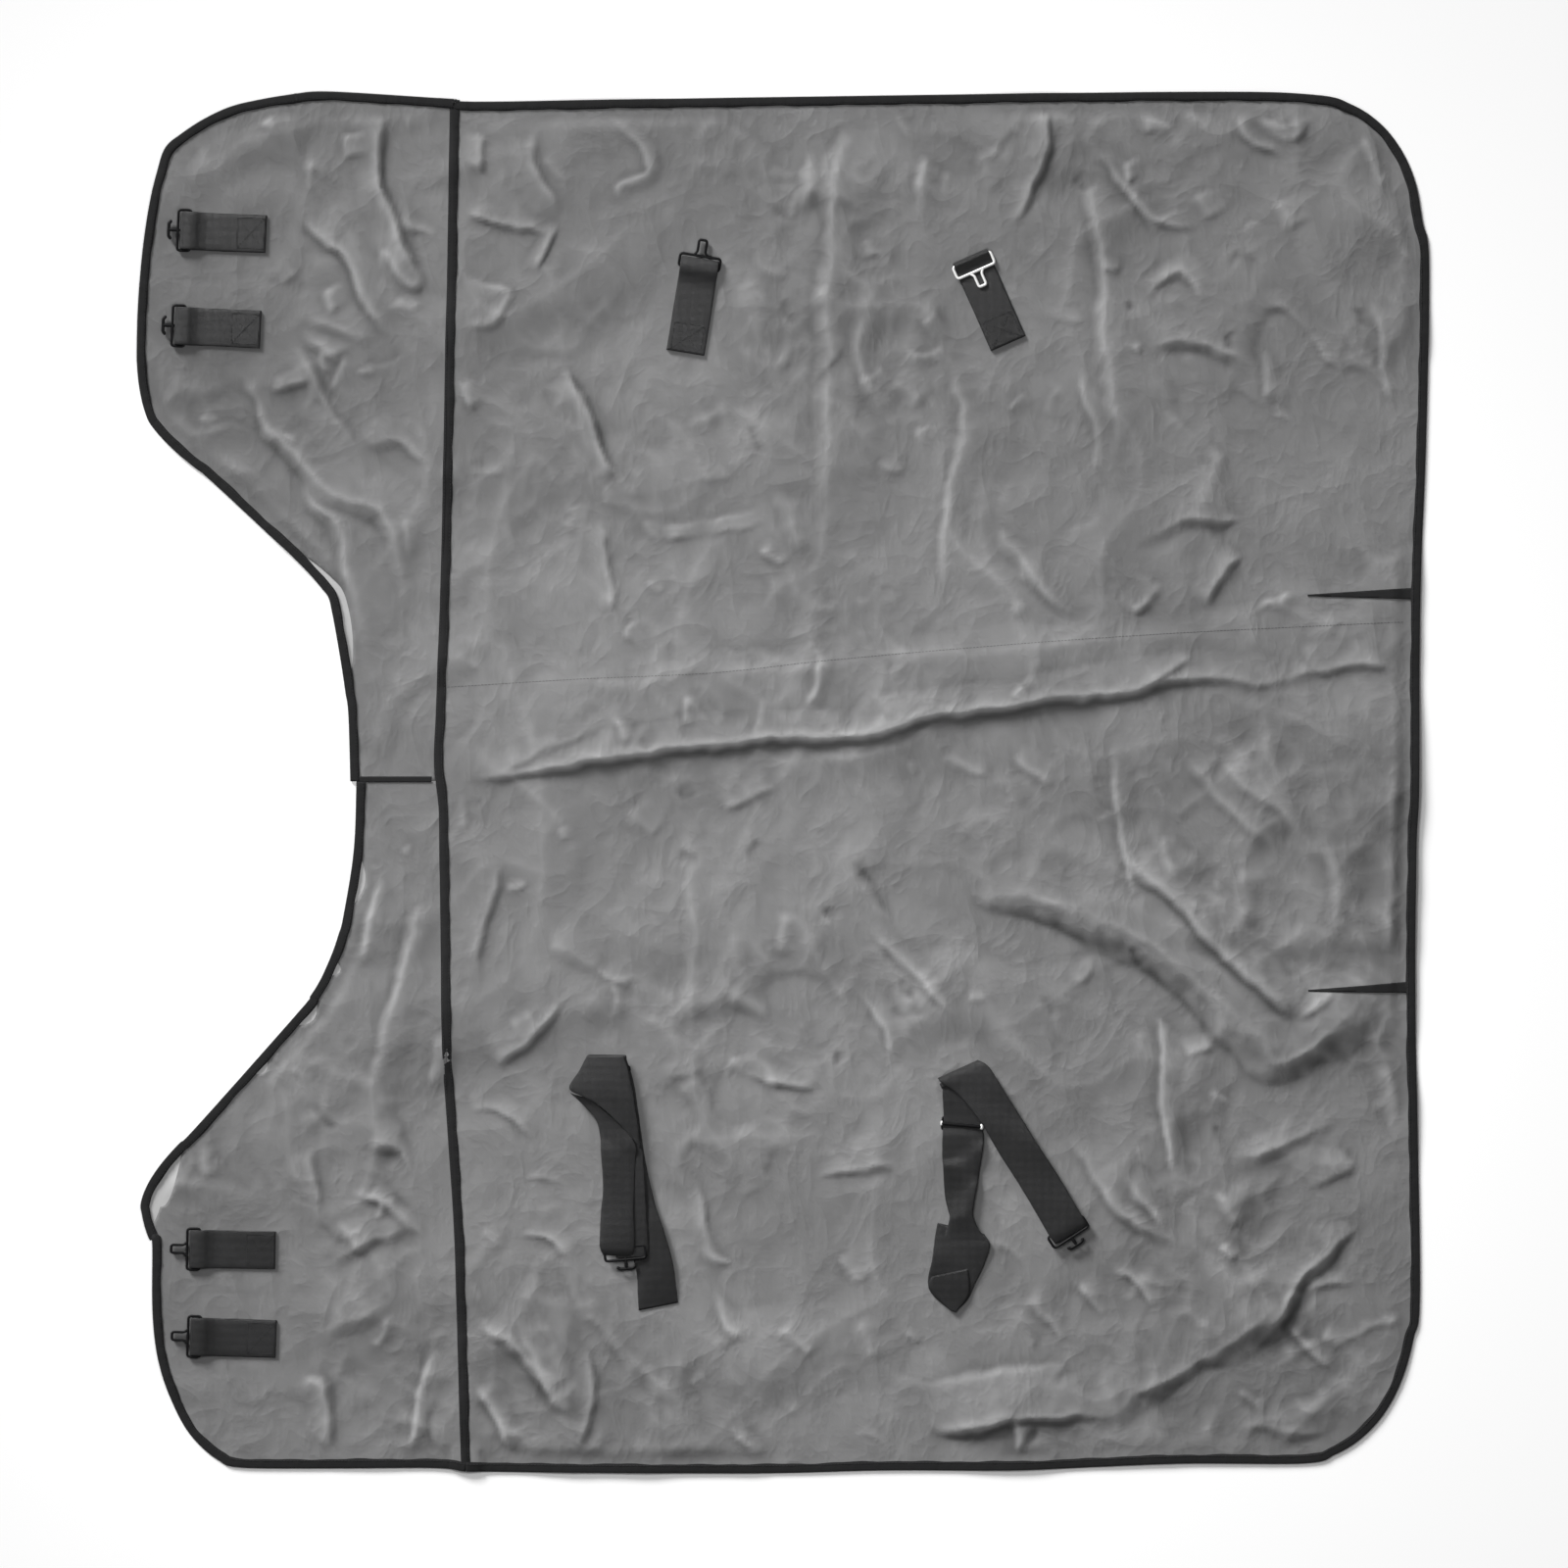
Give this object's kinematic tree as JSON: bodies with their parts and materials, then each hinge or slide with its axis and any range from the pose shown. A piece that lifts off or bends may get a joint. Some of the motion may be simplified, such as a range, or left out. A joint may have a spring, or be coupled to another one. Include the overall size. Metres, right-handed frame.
{
  "type": "horse fly sheet",
  "caption": "Grey mesh horse fly sheet laid flat, black bound edges, folding chest flaps, sewn webbing tabs, surcingle straps with sliders, T hooks and wire eyes.",
  "frame": {"origin": "centre of the sheet's box in plan, on the surface that it lies on", "axes": "+X towards the tail, +Y towards the horse's right side, +Z out of the outer face"},
  "size_m": [1.75, 1.88, 0.0154],
  "materials": {
    "grey_mesh": "matte woven mesh",
    "black_binding": "matte woven tape",
    "black_webbing": "ribbed webbing with a low sheen",
    "pale_lining": "smooth lining cloth",
    "black_steel": "satin black",
    "nickel_steel": "bright nickel plate"
  },
  "bodies": {
    "right_side": {"right_body_panel": "grey_mesh", "right_front_panel": "grey_mesh", "right_shoulder_lining": "pale_lining", "right_hem_binding": "black_binding", "right_tail_binding": "black_binding", "right_shoulder_binding": "black_binding", "right_neck_binding": "black_binding", "right_seam_tape": "black_binding", "right_tail_dart": "black_binding", "withers_tape": "black_binding", "right_front_anchor": "black_webbing", "right_rear_anchor": "black_webbing"},
    "right_flap": {"right_chest_flap": "grey_mesh", "right_flap_lining": "pale_lining", "right_flap_binding": "black_binding", "right_upper_tab": "black_webbing", "right_lower_tab": "black_webbing"},
    "left_side": {"left_body_panel": "grey_mesh", "left_front_panel": "grey_mesh", "left_shoulder_lining": "pale_lining", "left_hem_binding": "black_binding", "left_tail_binding": "black_binding", "left_shoulder_binding": "black_binding", "left_neck_binding": "black_binding", "left_seam_tape": "black_binding", "left_tail_dart": "black_binding", "left_front_base_strap": "black_webbing", "left_rear_base_strap": "black_webbing"},
    "left_flap": {"left_chest_flap": "grey_mesh", "left_flap_lining": "pale_lining", "left_flap_binding": "black_binding", "left_upper_tab": "black_webbing", "left_lower_tab": "black_webbing"},
    "right_upper_hook": {"right_upper_hook": "black_steel"},
    "right_lower_hook": {"right_lower_hook": "black_steel"},
    "left_upper_eye": {"left_upper_eye": "black_steel"},
    "left_lower_eye": {"left_lower_eye": "black_steel"},
    "right_front_eye": {"right_front_eye": "black_steel"},
    "right_rear_eye": {"right_rear_eye": "nickel_steel"},
    "left_front_loose_strap": {"left_front_loose_strap": "black_webbing"},
    "left_front_slider": {"left_front_slider": "black_steel"},
    "left_front_hook": {"left_front_hook": "black_steel"},
    "left_rear_loose_strap": {"left_rear_loose_strap": "black_webbing"},
    "left_rear_slider": {"left_rear_slider": "black_steel"},
    "left_rear_hook": {"left_rear_hook": "black_steel"}
  },
  "joints": [
    {"name": "spine_fold", "type": "hinge", "parent": "right_side", "child": "left_side", "pos_m": [0, 0, 0.0014], "axis": [-1, 0, 0], "range_deg": [-90, 90]},
    {"name": "right_flap_fold", "type": "hinge", "parent": "right_side", "child": "right_flap", "pos_m": [-0.663, 0.615, 0.0014], "axis": [0, 1, 0], "range_deg": [-100, 120]},
    {"name": "left_flap_fold", "type": "hinge", "parent": "left_side", "child": "left_flap", "pos_m": [-0.663, -0.615, 0.0014], "axis": [0, 1, 0], "range_deg": [-100, 120]},
    {"name": "right_upper_hook_pivot", "type": "hinge", "parent": "right_flap", "child": "right_upper_hook", "pos_m": [-0.80151, 0.74739, 0.0061], "axis": [0.0436, 0.999, 0], "range_deg": [0, 90]},
    {"name": "right_lower_hook_pivot", "type": "hinge", "parent": "right_flap", "child": "right_lower_hook", "pos_m": [-0.80901, 0.61839, 0.0061], "axis": [0.0436, 0.999, 0], "range_deg": [0, 90]},
    {"name": "left_upper_eye_pivot", "type": "hinge", "parent": "left_flap", "child": "left_upper_eye", "pos_m": [-0.789, -0.62824, 0.0061], "axis": [0.0175, 0.9998, 0], "range_deg": [0, 90]},
    {"name": "left_lower_eye_pivot", "type": "hinge", "parent": "left_flap", "child": "left_lower_eye", "pos_m": [-0.78801, -0.74649, 0.0061], "axis": [0.0349, 0.9994, 0], "range_deg": [0, 90]},
    {"name": "right_front_eye_pivot", "type": "hinge", "parent": "right_side", "child": "right_front_eye", "pos_m": [-0.11526, 0.69618, 0.0061], "axis": [0.9869, -0.1616, 0], "range_deg": [0, 90]},
    {"name": "right_rear_eye_pivot", "type": "hinge", "parent": "right_side", "child": "right_rear_eye", "pos_m": [0.25302, 0.70842, 0.0061], "axis": [-0.915, -0.4035, 0], "range_deg": [0, 150]},
    {"name": "left_front_strap_unfold", "type": "hinge", "parent": "left_side", "child": "left_front_loose_strap", "pos_m": [-0.24, -0.372, 0.0082], "axis": [-0.989, -0.1478, 0], "range_deg": [0, 150]},
    {"name": "left_front_hook_pivot", "type": "hinge", "parent": "left_front_loose_strap", "child": "left_front_hook", "pos_m": [-0.21521, -0.62479, 0.0115], "axis": [-0.9952, -0.0976, 0], "range_deg": [0, 90]},
    {"name": "left_front_slider_slide", "type": "slide", "parent": "left_side", "child": "left_front_slider", "axis": [0.1977, -0.9803, 0], "range_m": [0, 0.1]},
    {"name": "left_rear_strap_unfold", "type": "hinge", "parent": "left_side", "child": "left_rear_loose_strap", "pos_m": [0.24, -0.392, 0.0082], "axis": [-0.9711, -0.2385, 0], "range_deg": [0, 150]},
    {"name": "left_rear_hook_pivot", "type": "hinge", "parent": "left_rear_loose_strap", "child": "left_rear_hook", "pos_m": [0.37471, -0.60023, 0.0115], "axis": [-0.8396, -0.5432, 0], "range_deg": [0, 90]},
    {"name": "left_rear_slider_slide", "type": "slide", "parent": "left_side", "child": "left_rear_slider", "axis": [-0.0924, -0.9957, 0], "range_m": [-0.035, 0.1]}
  ]
}
